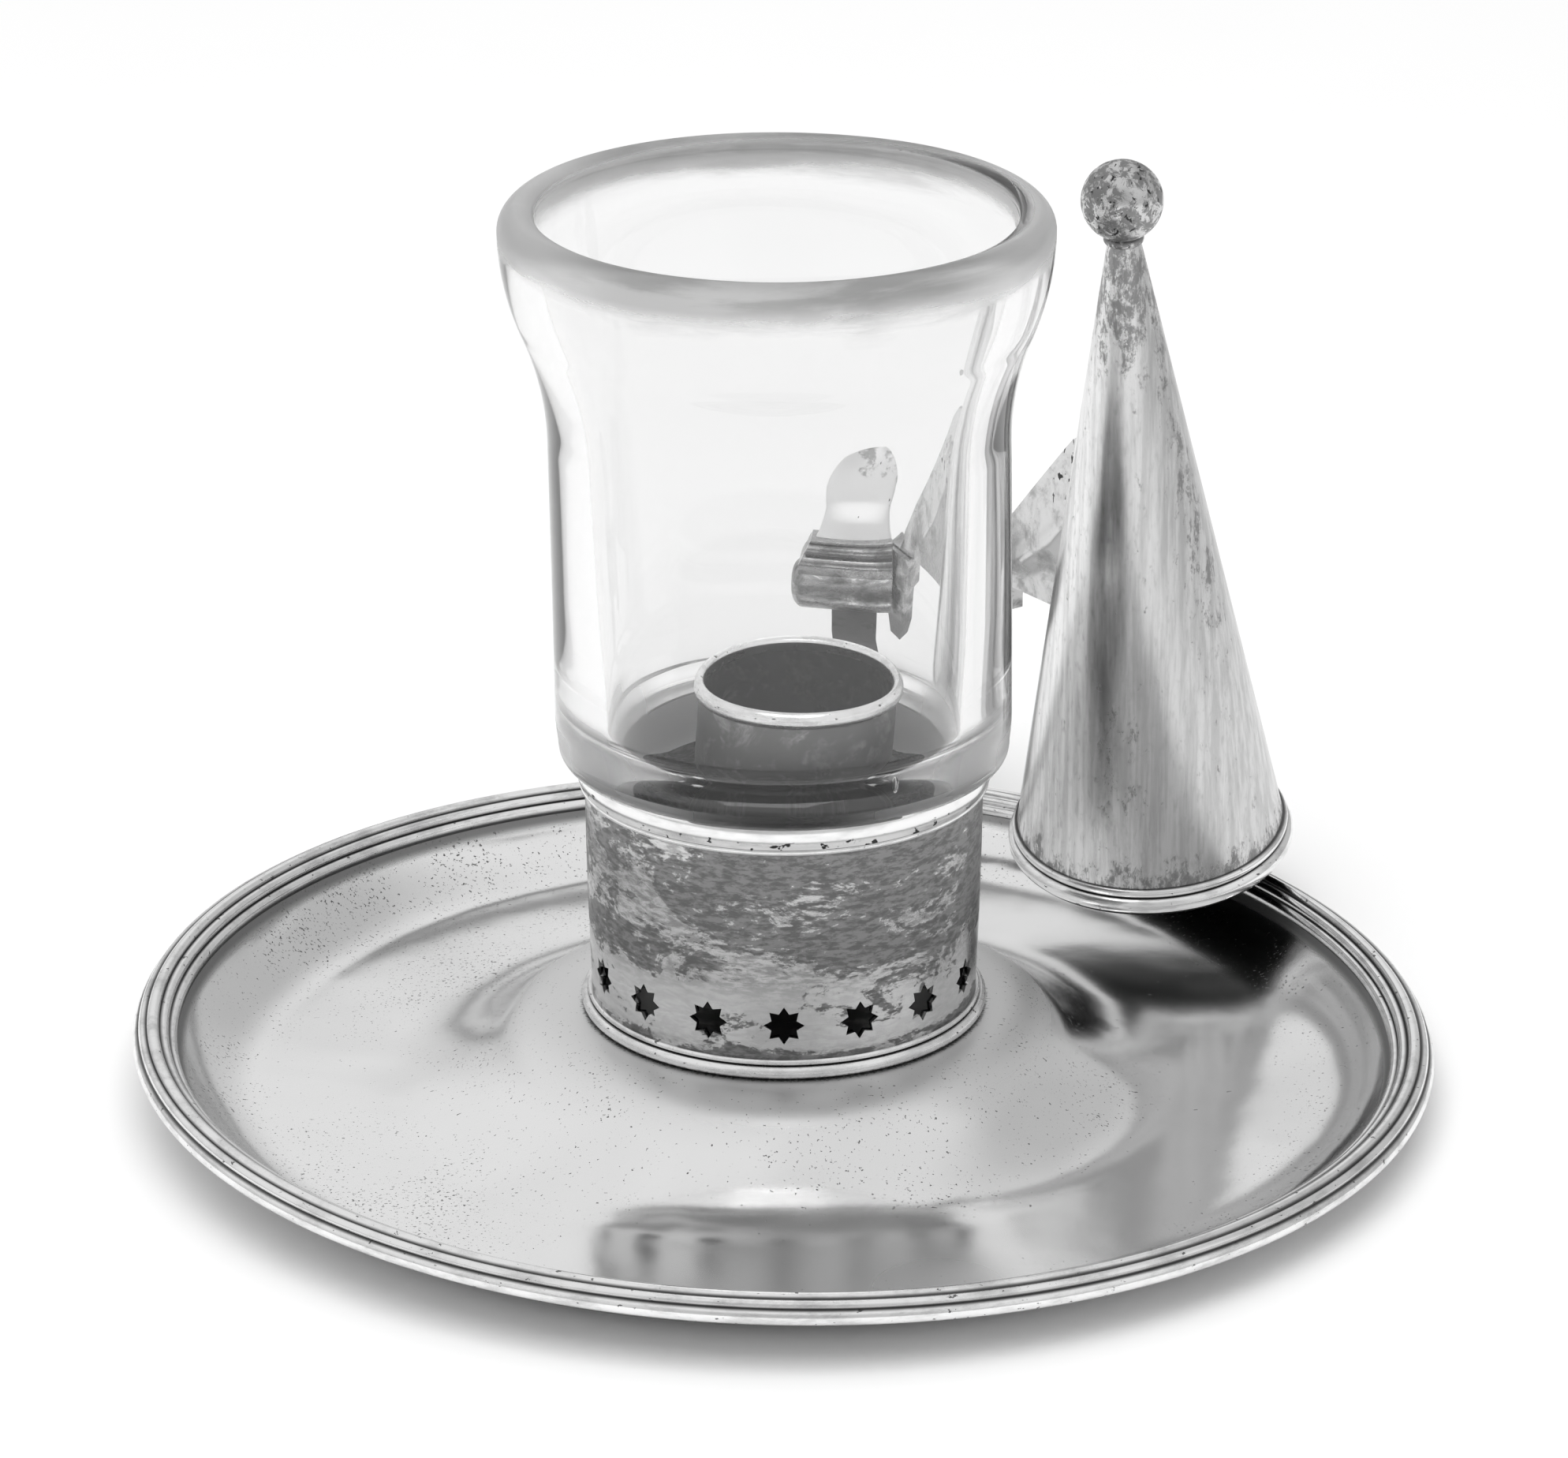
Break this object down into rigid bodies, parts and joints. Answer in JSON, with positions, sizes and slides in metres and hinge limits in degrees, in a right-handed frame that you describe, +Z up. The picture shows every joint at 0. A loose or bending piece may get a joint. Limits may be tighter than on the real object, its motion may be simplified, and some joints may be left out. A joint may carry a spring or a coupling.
{
  "type": "chamberstick",
  "caption": "Round footed pan with a pierced gallery, a flared glass shade round a candle socket, a finger loop with a thumbpiece, and a conical extinguisher hung from a slot",
  "frame": {"origin": "centre of the pan's flat ring-shaped resting face, on the candle socket's axis", "axes": "+Z up along the candle socket's axis, +Y from the front of the pan toward the handle side, +X toward the extinguisher"},
  "size_m": [0.152, 0.1726, 0.1068],
  "materials": {
    "silver_plate": "polished silver plate with tarnish",
    "clear_glass": "clear, fire polished"
  },
  "bodies": {
    "stand": {"drip_pan": "silver_plate", "reeded_rim": "silver_plate", "gallery_sleeve": "silver_plate", "gallery_foot_wire": "silver_plate", "gallery_foot_bead": "silver_plate", "gallery_band_bead": "silver_plate", "gallery_top_band": "silver_plate", "candle_socket": "silver_plate", "socket_rim": "silver_plate", "socket_floor": "silver_plate", "socket_foot": "silver_plate", "handle_strap": "silver_plate", "handle_roll": "silver_plate", "handle_plinth": "silver_plate", "thumbpiece": "silver_plate", "extinguisher_slot": "silver_plate"},
    "glass": {"glass_shade": "clear_glass"},
    "extinguisher": {"bracket_tongue": "silver_plate", "bracket_wing": "silver_plate", "extinguisher_cone": "silver_plate", "extinguisher_base_bead": "silver_plate", "extinguisher_upper_bead": "silver_plate", "finial_collar": "silver_plate", "ball_finial": "silver_plate"}
  },
  "joints": [
    {"name": "glass_lift", "type": "slide", "parent": "stand", "child": "glass", "axis": [0, 0, 1], "range_m": [0, 0.07]},
    {"name": "extinguisher_lift", "type": "slide", "parent": "stand", "child": "extinguisher", "axis": [0, 0, 1], "range_m": [0, 0.045]}
  ]
}
